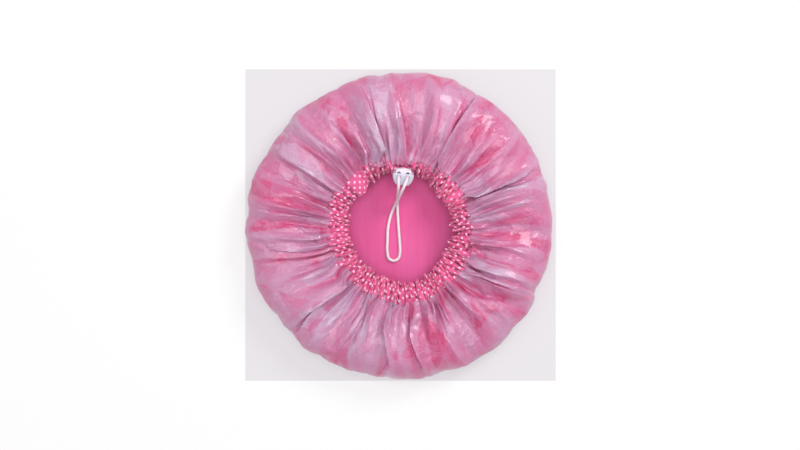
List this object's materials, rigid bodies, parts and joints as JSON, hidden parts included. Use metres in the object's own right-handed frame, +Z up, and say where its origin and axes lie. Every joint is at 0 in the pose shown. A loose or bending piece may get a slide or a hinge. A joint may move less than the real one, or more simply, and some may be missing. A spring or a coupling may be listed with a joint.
{
  "type": "shower cap",
  "caption": "Gathered two-layer shower cap lying crown down, with a ruffled polka-dot drawcord casing and a spring cord lock on a free loop.",
  "frame": {"origin": "on the surface the cap lies on, under the middle of its round outline", "axes": "+Z up out of the head opening, +Y from the middle of the opening to the cord lock, +X to the right seen from above"},
  "size_m": [0.2998, 0.2998, 0.0491],
  "materials": {
    "film": "gloss",
    "lining": "satin",
    "casing": "matte",
    "cord": "matte",
    "lock": "gloss",
    "lock_button": "gloss",
    "spring": "satin"
  },
  "bodies": {
    "cap": {"outer_film": "film", "outer_film_crest": "film", "crown_lining": "lining", "casing_band": "casing", "drawcord_ring": "cord", "drawcord_loop": "cord"},
    "lock": {"lock_body": "lock", "lock_spring": "spring"},
    "plunger": {"lock_plunger": "lock_button"}
  },
  "joints": [
    {"name": "lock_slide", "type": "slide", "parent": "cap", "child": "lock", "axis": [-0.0969, -0.9221, -0.3746], "range_m": [0, 0.05], "deforming": ["drawcord_loop"]},
    {"name": "plunger_press", "type": "slide", "parent": "lock", "child": "plunger", "axis": [-0.0969, -0.9221, -0.3746], "range_m": [0, 0.0028], "stiffness_N_per_m": 700, "springref_m": -0.0015, "deforming": ["lock_spring"]}
  ]
}
